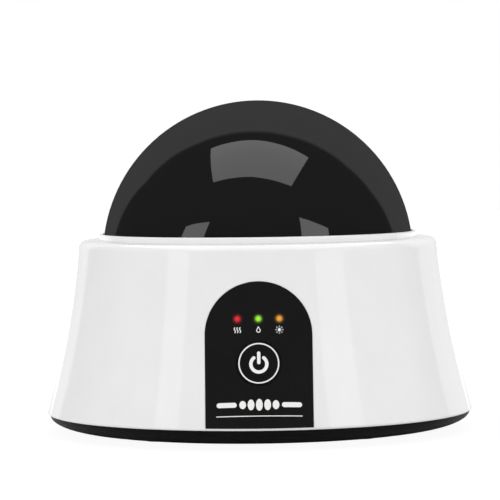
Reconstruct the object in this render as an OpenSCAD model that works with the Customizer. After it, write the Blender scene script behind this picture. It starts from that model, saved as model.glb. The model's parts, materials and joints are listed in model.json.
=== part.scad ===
// Gel polish remover: a bell-shaped table-top steamer for finger nails.
// A black dome swings back into the housing about two side trunnions.
// Under it a lift-out tray holds five fingertips in cups over a heated solvent dish.
// Millimetres, +Z up, the control panel faces -Y, the origin is on the table.

/* [Housing] */
// Width of the deck from the dome to where the flare runs out
deck_w = 11.7; // [11.2:0.1:14]
// How much wider the housing is at its lower edge than at the deck
flare_run = 17.4; // [15:0.1:20]
// Height of the housing's lower edge above the table
skirt_z = 9.8; // [9.4:0.1:10.4]
// Height of the deck round the dome above the table
deck_z = 97.5; // [96:0.5:102]
// How far the side is drawn in from a straight cone
flare_sag = 2.05; // [1.5:0.05:2.6]
// Rounding between the side and the deck
shoulder_round = 4.2; // [3.4:0.1:5]
// Rounding of the lower edge
skirt_round = 0.8; // [0.4:0.1:1.2]
// Wall of the housing
wall = 2.6; // [2.2:0.1:3]
// Depth of the stiffening ribs inside the wall
rib_depth = 3; // [2:0.5:4]
// Thickness of every moulded rib
rib_t = 1.6; // [1.2:0.1:2]

/* [Dome] */
// Outer radius of the dome
dome_r = 78.8; // [78:0.1:79.2]
// Wall of the dome
dome_wall = 2.2; // [1.8:0.1:2.6]
// Depth of the pivot axis below the deck
pivot_drop = 8.9; // [8.7:0.1:9.4]
// Angle through which the dome swings back, in degrees
dome_swing = 66; // [50:1:68]
// Gap between the swinging dome and each fixed part beside it
sweep_gap = 0.5; // [0.4:0.1:0.8]
// Radius of the ear round each trunnion
ear_r = 10; // [8:0.5:12]
// Radius of the flat boss on each ear
ear_boss_r = 5.6; // [4.8:0.1:5.8]
// Radius of the trunnion pin
pin_r = 3.5; // [2.5:0.1:4]
// Length of the trunnion pin beyond its boss
pin_len = 7.2; // [6:0.2:8]
// Running clearance of the pin in its bush, on the radius
pin_play = 0.06; // [0.02:0.01:0.1]

/* [Collar] */
// Width of the collar ring
collar_w = 1.65; // [1.4:0.05:2.4]
// Height of the collar ring above the deck
collar_h = 3.1; // [2:0.1:4]
// Depth to which the ring is let into the deck
collar_seat = 1.2; // [0.8:0.1:1.6]
// Gap between the ring and the dome at the ring's foot
collar_gap = 0.35; // [0.3:0.05:0.6]
// Clearance of the ring in its seat
collar_fit = 0.1; // [0.05:0.05:0.2]

/* [Control panel] */
// Width of the arched panel
panel_w = 51.6; // [48:0.2:56]
// Height of the panel's lower edge above the table
panel_z0 = 10.9; // [10.7:0.1:13]
// Height of the panel's crown above the table
panel_z1 = 80.1; // [76:0.1:82]
// Depth of the pocket that takes the panel
panel_seat = 1.1; // [0.8:0.1:1.3]
// How far the panel stands proud of the housing
panel_proud = 0.25; // [0.1:0.05:0.5]
// Clearance round the panel in its pocket
panel_fit = 0.15; // [0.05:0.05:0.3]

/* [Button and lights] */
// Height of the button's centre above the table
button_z = 41.3; // [38:0.1:44]
// Radius of the button's cap
button_r = 10.5; // [9:0.1:11.5]
// Clearance round the cap in the panel
button_gap = 0.3; // [0.3:0.05:0.5]
// How far the cap stands proud of the panel
button_proud = 0.3; // [0.1:0.05:0.6]
// Travel of the button
button_travel = 0.6; // [0.3:0.1:0.8]
// Width of the retaining flange behind the panel
button_flange = 1.5; // [1:0.1:2]
// Distance of the lights above the button's centre, along the panel
led_rise = 21.5; // [19:0.1:24]
// Distance between neighbouring lights
led_pitch = 10; // [8:0.1:12]
// Radius of each light's lens
lens_r = 1.55; // [1.2:0.05:2]
// Depth of the circuit board behind the housing's outer face
board_depth = 9.4; // [9:0.1:11]
// Width of the control board
board_w = 44; // [42:0.5:46]
// Thickness of the circuit boards
board_t = 1.6; // [1.2:0.1:2]

/* [Base] */
// How far the base plate's upper edge lies inside the housing's lower edge
base_inset = 1.3; // [0.9:0.1:2.4]
// Width of the rounded chin, seen from below
chin_run = 24.6; // [20:0.1:27]
// Height of the feet below the base plate
foot_h = 1.5; // [1.2:0.1:2.2]
// Wall of the base plate
base_wall = 2.5; // [2:0.1:3]
// Shadow gap between base plate and housing
seam_gap = 0.3; // [0.2:0.1:0.5]
// Radius of each rubber foot
foot_r = 8; // [6:0.5:10]
// Depth of each foot's recess
foot_seat = 1; // [0.6:0.1:1.2]
// Distance from the edge of the flat underside in to the feet's centres
foot_inset = 12; // [10:0.5:16]
// Distance from the housing's lower edge in to the housing screws
boss_inset = 14.4; // [13.9:0.1:15.9]
// Height of the joint between base bosses and housing bosses
boss_z = 12; // [11:0.5:14]
// Length of the housing's screw bosses
boss_len = 30; // [26:1:32]
// Radius of the housing's screw bosses
boss_r = 4.5; // [4:0.1:5]

/* [Steam chamber] */
// Wall of the chamber bowl
bowl_wall = 2.2; // [1.8:0.1:2.6]
// Depth of the bowl's underside below the pivot axis
bowl_depth = 38.6; // [36:0.2:40]
// Depth of the insert's ledge below the pivot axis
ledge_drop = 7.1; // [6.5:0.1:8]
// Width of the insert's ledge
ledge_w = 4; // [3:0.5:6]
// Height of the joint between base legs and bowl bosses
leg_z = 30; // [26:1:34]
// Distance of the legs from the middle plane
leg_x = 36; // [33:0.5:38]
// Distance of the front legs from the axis
leg_front_y = -34; // [-35:0.5:-32]
// Distance of the rear legs from the axis
leg_rear_y = 8; // [4:0.5:10]
// Radius of the base legs
leg_r = 6; // [5.6:0.1:6.5]
// Width of the front flange beyond the bowl
flange_w = 10.6; // [9.6:0.1:11]
// Thickness of the front flange
flange_t = 2.4; // [2:0.1:3]
// Thickness of the seal under the dome's front edge
seal_t = 1.3; // [1:0.1:1.6]
// Gap between the closed dome and its seal
seal_gap = 0.3; // [0.2:0.1:0.5]

/* [Finger insert] */
// Thickness of the insert's plate
insert_t = 2.5; // [2:0.1:3]
// Clearance of the insert in the bowl
insert_gap = 0.4; // [0.3:0.1:0.8]
// Height of the insert's rim above its plate
insert_rim = 3; // [2:0.5:3.5]
// Width of a finger well
well_w = 17.5; // [16:0.5:19]
// Length of a finger well
well_len = 25; // [22:0.5:27]
// Depth of a finger well below the plate's top
well_depth = 15.5; // [12:0.5:16]
// Wall of a finger well
well_wall = 1.6; // [1.2:0.1:2]
// Distance of the wells from the axis
well_circle_r = 47; // [46:0.5:50]
// Angle between neighbouring wells, in degrees
well_step = 32; // [30:1:34]
// Width of the lip on which each cup rests in the tray
cup_lip = 1; // [0.8:0.1:1.1]
// Thickness of that lip
cup_lip_t = 0.8; // [0.6:0.1:1.2]
// Clearance of each cup in the tray
cup_fit = 0.1; // [0.05:0.05:0.2]

/* [Heating] */
// Radius of the solvent dish at its rim
dish_r = 46; // [42:0.5:48]
// Radius of the dish's flat bottom
dish_flat_r = 34; // [30:0.5:36]
// Depth of the dish
dish_h = 13; // [10:0.5:14]
// Wall of the dish
dish_t = 1.2; // [1:0.1:1.6]
// Thickness of the gasket under the dish
gasket_t = 0.8; // [0.6:0.1:1.2]
// Radius of the heater plate
heater_r = 25.5; // [24:0.5:26.5]
// Thickness of the ceramic heater
ptc_t = 3; // [2:0.2:4]
// Radius of the ceramic heater
ptc_r = 12; // [10:0.5:12.5]
// Distance of the ceramic heater from the axis
ptc_x = -7; // [-8:0.5:-6.5]
// Distance of the thermostat from the axis
thermostat_x = 14; // [14:0.5:15]
// Radius of the thermostat
thermostat_r = 8; // [7:0.2:8.2]
// Thickness of the insulation pad
pad_t = 3; // [2:0.5:4]
// Radius of the insulation pad
pad_r = 60; // [56:1:62]

/* [Mains] */
// Height of the mains inlet's centre
inlet_z = 25; // [24:0.5:27]
// Width of the inlet's flange
inlet_w = 30; // [28:0.5:32]
// Height of the inlet's flange
inlet_h = 16; // [15:0.5:17]
// Depth of the inlet pocket's floor below the housing's side
inlet_inset = 5.1; // [4:0.1:6]
// Length of the inlet's body behind the pocket floor
inlet_len = 19; // [17:0.5:22]
// Distance between the two contact pins
contact_pitch = 8.6; // [8:0.1:9]
// Radius of a contact pin
contact_r = 1.2; // [1:0.05:1.3]
// Width of the power board
power_w = 68; // [66:0.5:70]
// Front edge of the power board
power_y0 = -78; // [-80:0.5:-77]
// Rear edge of the power board
power_y1 = -42; // [-43:0.5:-41.5]
// Height of the power board above the table
power_z = 9; // [8:0.5:11]

/* [Hidden] */

// Facets shown on round shapes
$fn = 64;
round_fn = 180;
flare_fn = 720;
// Overlap of shapes that are joined, and overshoot of shapes that cut
join = 0.5;
// Gap left between parts that are screwed or pressed together
seat = 0.05;
// Longest reach of a cut, beyond every part
far = 150;

// The side of the housing is one arc, hollow to the outside.
flare_rise = deck_z - skirt_z;
shoulder_r = dome_r + deck_w;
skirt_r = shoulder_r + flare_run;
flare_chord = norm([flare_run, flare_rise]);
flare_arc_r = (pow(flare_chord / 2, 2) + pow(flare_sag, 2)) / (2 * flare_sag);
flare_cx = (skirt_r + shoulder_r) / 2 + flare_rise / flare_chord * (flare_arc_r - flare_sag);
flare_cz = (skirt_z + deck_z) / 2 + flare_run / flare_chord * (flare_arc_r - flare_sag);

// Radius of the side at a height, and its lean back from upright there
function side_r(z) = flare_cx - sqrt(pow(flare_arc_r, 2) - pow(z - flare_cz, 2));
function side_lean(z) = asin((flare_cz - z) / flare_arc_r);

// The dome's sphere and what clears it
pivot_z = deck_z - pivot_drop;
function sphere_r(r, z) = sqrt(pow(r, 2) - pow(z - pivot_z, 2));
dome_inner_r = dome_r - dome_wall;
clear_r = dome_r + sweep_gap;
deck_bore_r = dome_r + sweep_gap + collar_fit;
collar_foot_z = deck_z - collar_seat;
collar_bore_r = sphere_r(dome_r, collar_foot_z) + collar_gap;
collar_r = collar_bore_r + collar_w;

// Trunnion stack from the ear outward
boss_x = dome_r + 0.5;
washer_t = 0.8;
bush_flange_t = 1;
bush_flange_r = ear_boss_r + 0.4;
bush_wall = 1.3;
washer_x = boss_x + seat;
bush_x = washer_x + washer_t + seat;
bracket_x = bush_x + bush_flange_t;
bracket_t = 3;
bracket_half_w = 10;
bracket_h_below = 9;
wing_y = 19;
wing_t = 2.7;
wing_x = bracket_x + 5.2;
wing_top_z = pivot_z - 0.7;
wing_hole = [bracket_x + 2.7, 14.8];

// Rubber stops of the dome, with the angle by which they clear its edge
stop_x = 24;
stop_half_w = 4;
stop_t = 5;
stop_reach = [dome_inner_r - 6.6, dome_r - 0.8];
stop_lag = 0.25;

// Steam chamber
bowl_r = dome_inner_r - sweep_gap;
bowl_inner_r = bowl_r - bowl_wall;
bowl_z = pivot_z - bowl_depth;
bowl_floor_z = bowl_z + bowl_wall;
rim_z = pivot_z - seal_gap;
seal_z = rim_z - seal_t;
flange_z = seal_z - flange_t;
flange_r = bowl_r + flange_w;
flange_hole_r = flange_r - 3;
flange_half_angle = 76;
flange_screw_step = 50;
ledge_z = pivot_z - ledge_drop;
leg_spots = [
  for (x = [-leg_x, leg_x], y = [leg_front_y, leg_rear_y]) [x, y]
];
leg_web = 4;
leg_bite = 12;
bowl_boss_r = 4.5;

// Insert
insert_r = sphere_r(bowl_inner_r, ledge_z) - insert_gap;
insert_top_z = ledge_z + insert_t;
rim_w = 2;
palm_r = 50;
palm_sink = 44;
palm_y = -36;
slot_pitch = 6;

// Heating stack, from the dish down
dish_z = bowl_floor_z + gasket_t;
heater_t = dish_z - bowl_z;
heater_hole_r = heater_r + 0.7;
clamp_t = 1;
clamp_z = bowl_z - ptc_t - clamp_t;
clamp_len = 70;
clamp_w = 25;
clamp_screw_x = clamp_len / 2 - 4.5;
clamp_boss_r = 3.6;
clamp_ear_w = 6;
clamp_plate_len = 48;
heater_lead_x = [-7.5, -2];
heater_tab_y = ptc_r + 7;
thermostat_h = 9;
sensor_lead_x = [thermostat_x - 2.4, thermostat_x + 2.4];

// Base
base_top_z = skirt_z - seam_gap;
floor_z = foot_h + base_wall;
base_r = skirt_r - base_inset;
flat_r = base_r - chin_run;
foot_circle_r = flat_r - foot_inset;
boss_circle_r = skirt_r - boss_inset;
chin_rise = base_top_z - foot_h;
chin_steps = 15;
spigot_r = side_r(boss_z + 1) - wall - 0.4;
spigot_t = 2;
spigot_top_z = boss_z + 1;
screw_angles = [45, 135, 225, 315];
boss_web = 4;
base_screw_len = 18;
rib_ring_r = 20;
vent_pitch = 6;
vent_half_w = 1.1;
vent_half_len = 7;
base_rib_top_z = floor_z + 1.5;

// Screws
screw_r = 1.4;
pilot_r = screw_r + seat;
small_boss_r = screw_r + 1.2;
clearance_r = screw_r + 0.35;
head_r = 2.8;
head_h = 2.1;

// Control board frame: X to the right, Y up the panel, Z out of the panel
control_lean = side_lean(button_z);
board_top = -board_depth;
board_y0 = -16;
board_y1 = led_rise + 8.5;
board_screws = [
  for (x = [-1, 1], y = [board_y0 + 4, board_y1 - 4]) [x * (board_w / 2 - 3.5), y]
];
button_flange_top = -3;
button_flange_t = 1;
switch_side = 6;
switch_h = 3.5;
plunger_r = 1.75;
stem_end = board_top + switch_h + button_travel + 1;
led_spots = [for (i = [-1:1]) [i * led_pitch, led_rise]];

// Power board
power_spots = [
  for (x = [-1, 1], y = [power_y0 + 4, power_y1 - 4]) [x * (power_w / 2 - 4), y]
];
power_top_z = power_z + board_t;
transformer_reach = 26;
transformer_w = 20;
transformer_h = 19;
transformer_core = 5;
board_bite = 4;

// Inlet pocket
inlet_y = side_r(inlet_z) - inlet_inset;
pocket_margin = 2;
pocket_half_w = inlet_w / 2 + pocket_margin;
pocket_half_h = inlet_h / 2 + 1.5;
inlet_flange_t = 1.8;
inlet_body_w = 22;
inlet_body_h = 13;
inlet_fit = 0.2;
socket_depth = 13;
socket_lobe_r = 4.4;
socket_waist = 5.2;
contact_len = 9.5;
contact_tail = 3;

// Terminal block on the power board
block_half_w = 10;
block_rear_y = power_y1 - 1.5;
relay_low = [2.5, power_y0 + 4.2];
relay_size = [19, 15.5, 15.5];
can_spot = [27, power_y0 + 16];
can_r = 4.4;
can_h = 16;
mains_fuse_y = power_y0 + 25;
sensor_end_y = power_y1 - 3.5;
sensor_tab = 5;
block_front_y = block_rear_y - 9;
block_h = 10;

// Leads: their radius, their hole in the block and the gap at their ends
lead_r = 1.1;
lead_hole_r = lead_r + 0.35;
lead_gap = 0.3;
lead_bend = 8;
lead_reach = 2.5;
lead_profile = [for (i = [0:7]) lead_r * [cos(45 * i), -sin(45 * i)]];
mains_lead_x = [-contact_pitch / 2, contact_pitch / 2];
mains_end_z = power_top_z + 3.6;
mains_low_z = base_rib_top_z + lead_r + 0.3;
heater_end_y = (block_front_y + block_rear_y) / 2;

// ---------- shared shapes ----------

// Half section of the bell, moved in from the outer face by inset
module bell_outline(inset) {
  round_z = deck_z - shoulder_round;
  round_x = flare_cx - sqrt(pow(flare_arc_r + shoulder_round, 2) - pow(round_z - flare_cz, 2));
  lift = (flare_cz - round_z) / (flare_arc_r + shoulder_round);
  round_r = max(shoulder_round - inset, 0);
  touch_z = round_z + round_r * lift;
  difference() {
    union() {
      square([far, touch_z]);
      square([round_x, deck_z - inset]);
      if (round_r > 0) translate([round_x, round_z]) circle(r = round_r);
    }
    translate([flare_cx, flare_cz]) circle(r = flare_arc_r + inset, $fn = flare_fn);
  }
}

// The solid bell, moved in by inset
module bell(inset) {
  rotate_extrude($fn = round_fn) bell_outline(inset);
}

// What the lower edge loses to its rounding
module skirt_corner() {
  corner_z = skirt_z + skirt_round;
  corner_x = flare_cx - sqrt(pow(flare_arc_r + skirt_round, 2) - pow(corner_z - flare_cz, 2));
  touch = skirt_round * (flare_cz - corner_z) / (flare_arc_r + skirt_round);
  difference() {
    translate([corner_x, skirt_z - join]) square([far, skirt_round + touch + join]);
    translate([corner_x, corner_z]) circle(r = skirt_round);
  }
}

// A box given by its two corners
module block(low, high) {
  translate(low) cube(high - low);
}

// A cylinder along Z from z0 to z1
module post(x, y, z0, z1, r) {
  translate([x, y, z0]) cylinder(r = r, h = z1 - z0);
}

// A cylinder along X from x0 to x1, on the pivot axis
module axle(x0, x1, r) {
  translate([x0, 0, pivot_z]) rotate([0, 90, 0]) cylinder(r = r, h = x1 - x0);
}

// A pan-head screw: the head's seat is at the origin and the shank points up
module screw(length) {
  slot = 0.7;
  difference() {
    translate([0, 0, -head_h]) cylinder(r1 = head_r - 0.6, r2 = head_r, h = head_h, $fn = 32);
    for (turn = [0, 90]) rotate([0, 0, turn])
      translate([-head_r * 0.6, -slot / 2, -head_h - join])
        cube([head_r * 1.2, slot, join + head_h * 0.55]);
  }
  translate([0, 0, -join]) cylinder(r = screw_r, h = length + join, $fn = 32);
}

// Puts its children on the control board's frame
module at_controls() {
  translate([0, -side_r(button_z), button_z]) rotate([90 - control_lean, 0, 0]) children();
}

// The point of the control board's frame in the whole part's frame
function control_point(p) = [
  p[0],
  -side_r(button_z) + p[1] * sin(control_lean) - p[2] * cos(control_lean),
  button_z + p[1] * cos(control_lean) + p[2] * sin(control_lean)
];

// Arched outline of the panel, smaller all round by inset
module arch(inset) {
  half = panel_w / 2;
  translate([0, panel_z1 - half]) circle(r = half - inset, $fn = round_fn);
  translate([inset - half, panel_z0 + inset])
    square([panel_w - 2 * inset, panel_z1 - half - panel_z0 - inset]);
}

// The panel's arch as a prism through the front wall
module arch_prism(inset) {
  translate([0, -side_r(panel_z1) + panel_w / 2, 0]) rotate([90, 0, 0])
    linear_extrude(far) arch(inset);
}

// A tube or ribbon along a path that lies in a plane across X
module swept(path, profile) {
  n = len(path);
  m = len(profile);
  points = [
    for (i = [0:n - 1])
      let (
        run = path[min(i + 1, n - 1)] - path[max(i - 1, 0)],
        ahead = run / norm(run),
        up = cross(ahead, [1, 0, 0])
      )
      for (p = profile) path[i] + [p[0], 0, 0] + up * p[1]
  ];
  sides = [
    for (i = [0:n - 2], j = [0:m - 1])
      let (k = (j + 1) % m)
      [i * m + j, i * m + k, (i + 1) * m + k, (i + 1) * m + j]
  ];
  near_end = [for (j = [m - 1:-1:0]) j];
  far_end = [for (j = [0:m - 1]) (n - 1) * m + j];
  polyhedron(points, concat(sides, [near_end, far_end]), convexity = 4);
}

// Points of a smooth bend between four guide points
function bend(a, b, c, d, steps = 8) = [
  for (i = [0:steps])
    let (t = i / steps, s = 1 - t)
    s * s * s * a + 3 * s * s * t * b + 3 * s * t * t * c + t * t * t * d
];

// ---------- housing and collar ----------

// Section of the housing's skin and deck
module housing_section() {
  difference() {
    bell_outline(0);
    bell_outline(wall);
    square([far, skirt_z]);
    square([deck_bore_r, far]);
    skirt_corner();
    translate([deck_bore_r - join, collar_foot_z])
      square([collar_r + collar_fit - deck_bore_r + join, far]);
  }
}

// Upright ribs on the inside of the wall
module wall_ribs() {
  rib_angles = [22, 67, 113, 158, -22, -62, -118, -158];
  intersection() {
    rotate_extrude($fn = round_fn) difference() {
      bell_outline(wall / 2);
      bell_outline(wall + rib_depth);
      square([far, spigot_top_z + 1]);
      translate([0, pivot_z - bracket_h_below - 2]) square([far, far]);
    }
    union() for (turn = rib_angles) rotate([0, 0, turn])
      translate([flat_r, -rib_t / 2, 0]) cube([far, rib_t, far]);
  }
}

// Screw bosses for the base
module skirt_bosses() {
  for (turn = screw_angles) rotate([0, 0, turn])
    post(boss_circle_r, 0, boss_z, boss_z + boss_len, boss_r);
}

// Ribs that tie the screw bosses to the wall
module boss_ribs() {
  intersection() {
    bell(wall / 2);
    union() for (turn = screw_angles) rotate([0, 0, turn])
      block([boss_circle_r, -rib_t / 2, spigot_top_z + 1], [far, rib_t / 2, boss_z + boss_len - 2]);
  }
}

// Bosses under the deck for the bowl's flange and the pivot brackets
module deck_bosses() {
  for (turn = [-1:1]) rotate([0, 0, -90 + turn * flange_screw_step])
    post(flange_hole_r, 0, seal_z + seat, deck_z - wall + join, small_boss_r);
  for (x = [-1, 1], y = [-1, 1])
    post(x * wing_hole[0], y * wing_hole[1], wing_top_z + seat, deck_z - wall + join, small_boss_r);
}

// Bosses that carry the control board
module board_bosses() {
  at_controls() for (p = board_screws)
    translate([p[0], p[1], board_top + seat])
      cylinder(r = small_boss_r, h = board_depth - wall - panel_seat + 0.3);
}

// Walls round the mains inlet's pocket
module inlet_frame() {
  intersection() {
    bell(wall / 4);
    block(
      [-pocket_half_w - 2, inlet_y - 3, spigot_top_z + 0.6],
      [pocket_half_w + 2, far, inlet_z + pocket_half_h + 2]
    );
  }
}

module outer_housing() {
  color("white") difference() {
    union() {
      rotate_extrude($fn = round_fn) housing_section();
      wall_ribs();
      skirt_bosses();
      boss_ribs();
      deck_bosses();
      board_bosses();
      inlet_frame();
    }
    difference() {
      arch_prism(0);
      bell(panel_seat);
    }
    at_controls() {
      translate([0, 0, -board_depth]) cylinder(r = button_r + button_flange + 0.5, h = board_depth + 5);
      for (p = led_spots) translate([p[0], p[1], -6]) cylinder(r = lens_r + 0.2, h = 12, $fn = 32);
      for (p = board_screws) translate([p[0], p[1], -board_depth - join])
        cylinder(r = pilot_r, h = 5 + join, $fn = 32);
    }
    for (turn = screw_angles) rotate([0, 0, turn])
      post(boss_circle_r, 0, boss_z - join, boss_z + 16, pilot_r);
    for (turn = [-1:1]) rotate([0, 0, -90 + turn * flange_screw_step])
      post(flange_hole_r, 0, seal_z - join, deck_z - wall, pilot_r);
    for (x = [-1, 1], y = [-1, 1])
      post(x * wing_hole[0], y * wing_hole[1], wing_top_z - join, deck_z - wall, pilot_r);
    block(
      [-pocket_half_w, inlet_y, inlet_z - pocket_half_h],
      [pocket_half_w, far, inlet_z + pocket_half_h]
    );
    block(
      [-inlet_body_w / 2 - inlet_fit, inlet_y - 8, inlet_z - inlet_body_h / 2 - inlet_fit],
      [inlet_body_w / 2 + inlet_fit, far, inlet_z + inlet_body_h / 2 + inlet_fit]
    );
  }
}

module collar_ring() {
  edge = 0.6;
  color("white") rotate_extrude($fn = round_fn)
    translate([collar_bore_r, collar_foot_z]) difference() {
      square([collar_w, collar_seat + collar_h]);
      translate([collar_w - edge, collar_seat + collar_h - edge]) difference() {
        square([edge + join, edge + join]);
        circle(r = edge);
      }
    }
}

// ---------- dome and pivots ----------

module visor_dome() {
  color([0.11, 0.11, 0.115]) {
    difference() {
      intersection() {
        translate([0, 0, pivot_z]) sphere(r = dome_r, $fn = round_fn);
        union() {
          block([-far, -far, pivot_z], [far, far, pivot_z + far]);
          axle(-far, far, ear_r);
        }
      }
      translate([0, 0, pivot_z]) sphere(r = dome_inner_r, $fn = round_fn);
    }
    for (side = [0, 1]) mirror([side, 0, 0]) {
      axle(dome_r - dome_wall / 2, boss_x, ear_boss_r);
      axle(dome_r - dome_wall / 2, boss_x + pin_len, pin_r);
    }
  }
}

// Soft strip under the front half of the dome's edge
module dome_seal() {
  color([0.35, 0.35, 0.36]) translate([0, 0, seal_z])
    rotate([0, 0, -90 - flange_half_angle + 2])
      rotate_extrude(angle = 2 * flange_half_angle - 4, $fn = round_fn)
        translate([bowl_r + 0.6, 0]) square([dome_wall + 0.3, seal_t]);
}

// Puts its children on the stops' frame: Y outward, Z against the opened dome
module at_stops() {
  translate([0, 0, pivot_z]) rotate([-dome_swing - stop_lag, 0, 0]) children();
}

// Rubber blocks that end the dome's swing
module dome_stops() {
  color([0.2, 0.2, 0.2]) at_stops() for (x = [-stop_x, stop_x])
    block([x - stop_half_w, stop_reach[0], -stop_t], [x + stop_half_w, stop_reach[1], 0]);
}

// Base posts under the rubber stops
module stop_posts() {
  near_y = stop_reach[0] * cos(dome_swing) - 4;
  far_y = stop_reach[1] * cos(dome_swing) + 1;
  difference() {
    for (x = [-stop_x, stop_x])
      block([x - stop_half_w, near_y, floor_z - join], [x + stop_half_w, far_y, leg_z]);
    at_stops() block([-far, -far, -stop_t], [far, far, far]);
  }
}

module pivot_bracket() {
  top_z = pivot_z + bush_flange_r;
  color([0.85, 0.85, 0.83]) difference() {
    union() {
      block(
        [bracket_x, -bracket_half_w, pivot_z - bracket_h_below],
        [bracket_x + bracket_t, bracket_half_w, top_z]
      );
      for (side = [0, 1]) mirror([0, side, 0]) {
        block([bracket_x, bracket_half_w - 1, wing_top_z - wing_t], [wing_x, wing_y, wing_top_z]);
        block(
          [bracket_x, bracket_half_w - 1.6, pivot_z - bracket_h_below],
          [wing_x, bracket_half_w, wing_top_z]
        );
      }
    }
    axle(bracket_x - join, far, pin_r + bush_wall + seat);
    for (y = [-wing_hole[1], wing_hole[1]])
      post(wing_hole[0], y, pivot_z - bracket_h_below - join, wing_top_z + join, clearance_r);
  }
}

module pivot_bracket_left() {
  mirror([1, 0, 0]) pivot_bracket();
}

module pivot_bracket_right() {
  pivot_bracket();
}

module pivot_bush() {
  color([0.15, 0.15, 0.16]) difference() {
    union() {
      axle(bush_x, bracket_x, bush_flange_r);
      axle(bracket_x - join, bracket_x + bracket_t + 0.8, pin_r + bush_wall);
    }
    axle(bush_x - join, far, pin_r + pin_play);
  }
}

module pivot_bush_left() {
  mirror([1, 0, 0]) pivot_bush();
}

module pivot_bush_right() {
  pivot_bush();
}

module friction_washer() {
  color([0.3, 0.3, 0.32]) difference() {
    axle(washer_x, washer_x + washer_t, ear_boss_r);
    axle(washer_x - join, far, pin_r + 0.2);
  }
}

module friction_washer_left() {
  mirror([1, 0, 0]) friction_washer();
}

module friction_washer_right() {
  friction_washer();
}

module bracket_screws() {
  color("silver") for (x = [-1, 1], y = [-1, 1])
    translate([x * wing_hole[0], y * wing_hole[1], wing_top_z - wing_t]) screw(wing_t + 5);
}

// ---------- control panel ----------

module control_panel() {
  color([0.115, 0.115, 0.12]) difference() {
    intersection() {
      arch_prism(panel_fit);
      bell(-panel_proud);
    }
    bell(panel_seat - seat);
    at_controls() {
      translate([0, 0, -board_depth]) cylinder(r = button_r + button_gap, h = 2 * board_depth);
      for (p = led_spots) translate([p[0], p[1], -board_depth])
        cylinder(r = lens_r + seat, h = 2 * board_depth, $fn = 32);
    }
  }
}

module power_button() {
  stem_r = 3;
  color([0.12, 0.12, 0.125]) {
    intersection() {
      bell(-panel_proud - button_proud);
      at_controls() translate([0, 0, button_flange_top - join])
        cylinder(r = button_r, h = far, $fn = 96);
    }
    at_controls() {
      translate([0, 0, button_flange_top - button_flange_t])
        cylinder(r = button_r + button_flange, h = button_flange_t, $fn = 96);
      translate([0, 0, stem_end]) cylinder(r = stem_r, h = button_flange_top - join - stem_end);
    }
  }
}

module switch_plunger() {
  color([0.75, 0.3, 0.2]) at_controls()
    translate([0, 0, stem_end - 2.6]) cylinder(r = plunger_r, h = 2.6);
}

module tact_switch() {
  half = switch_side / 2;
  color([0.1, 0.1, 0.1]) at_controls() difference() {
    block([-half, -half, board_top], [half, half, board_top + switch_h]);
    translate([0, 0, board_top + 0.6]) cylinder(r = plunger_r + 0.1, h = switch_h);
  }
}

// Light pipe in the panel, with a shoulder behind the housing's wall
module indicator_lens(spot) {
  shoulder_top = -wall - 0.8;
  intersection() {
    bell(-panel_proud - 0.3);
    at_controls() translate([spot[0], spot[1], 0]) {
      translate([0, 0, shoulder_top - 1]) cylinder(r = lens_r, h = far, $fn = 32);
      translate([0, 0, shoulder_top - 1]) cylinder(r = lens_r + 0.7, h = 1, $fn = 32);
    }
  }
}

module indicator_lens_red() {
  color([0.93, 0.2, 0.23]) indicator_lens(led_spots[0]);
}

module indicator_lens_green() {
  color([0.59, 0.94, 0.2]) indicator_lens(led_spots[1]);
}

module indicator_lens_amber() {
  color([0.94, 0.63, 0.2]) indicator_lens(led_spots[2]);
}

module indicator_leds() {
  color([0.9, 0.9, 0.85]) at_controls() for (p = led_spots) translate([p[0], p[1], board_top]) {
    cylinder(r = 1.45, h = 3.4, $fn = 32);
    translate([0, 0, 3.4]) sphere(r = 1.3, $fn = 32);
    cylinder(r = 1.8, h = 0.9, $fn = 32);
  }
}

module control_board() {
  color([0.1, 0.35, 0.18]) at_controls() difference() {
    block([-board_w / 2, board_y0, board_top - board_t], [board_w / 2, board_y1, board_top]);
    for (p = board_screws) translate([p[0], p[1], board_top - board_t - join])
      cylinder(r = clearance_r, h = board_t + 2 * join, $fn = 32);
  }
}

module buzzer() {
  color([0.08, 0.08, 0.08]) at_controls() translate([11, 8, board_top - board_t - 5]) difference() {
    cylinder(r = 6, h = 5);
    translate([0, 0, -join]) cylinder(r = 1, h = 2, $fn = 32);
  }
}

module control_board_screws() {
  color("silver") at_controls() for (p = board_screws)
    translate([p[0], p[1], board_top - board_t]) screw(board_t + board_bite);
}

// ---------- base ----------

// Outline of the rounded chin, moved in by inset
function chin_points(inset) = [
  for (i = [0:chin_steps])
    let (turn = 90 * i / chin_steps)
    [flat_r + (chin_run - inset) * sin(turn), base_top_z - (chin_rise - inset) * cos(turn)]
];

module base_section() {
  difference() {
    polygon(concat([[0, foot_h]], chin_points(0), [[0, base_top_z]]));
    polygon(concat([[0, floor_z]], chin_points(base_wall), [[0, base_top_z + join]]));
  }
  translate([spigot_r - spigot_t, base_top_z - 3]) square([spigot_t, spigot_top_z - base_top_z + 3]);
}

// Stiffening ribs on the base plate's floor
module floor_ribs() {
  for (r = [rib_ring_r, flat_r - rib_ring_r]) rotate_extrude($fn = round_fn)
    translate([r, floor_z - join]) square([rib_t, base_rib_top_z - floor_z + join]);
  for (turn = [0:30:330]) rotate([0, 0, turn])
    block([rib_ring_r, -rib_t / 2, floor_z - join], [flat_r, rib_t / 2, base_rib_top_z]);
}

// Slots that let air in under the power board
module vent_slots() {
  for (i = [-4:4], y = [power_y0 + vent_half_len + 1, power_y1 - vent_half_len - 1])
    block(
      [i * vent_pitch - vent_half_w, y - vent_half_len, -join],
      [i * vent_pitch + vent_half_w, y + vent_half_len, power_z - 1]
    );
}

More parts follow.
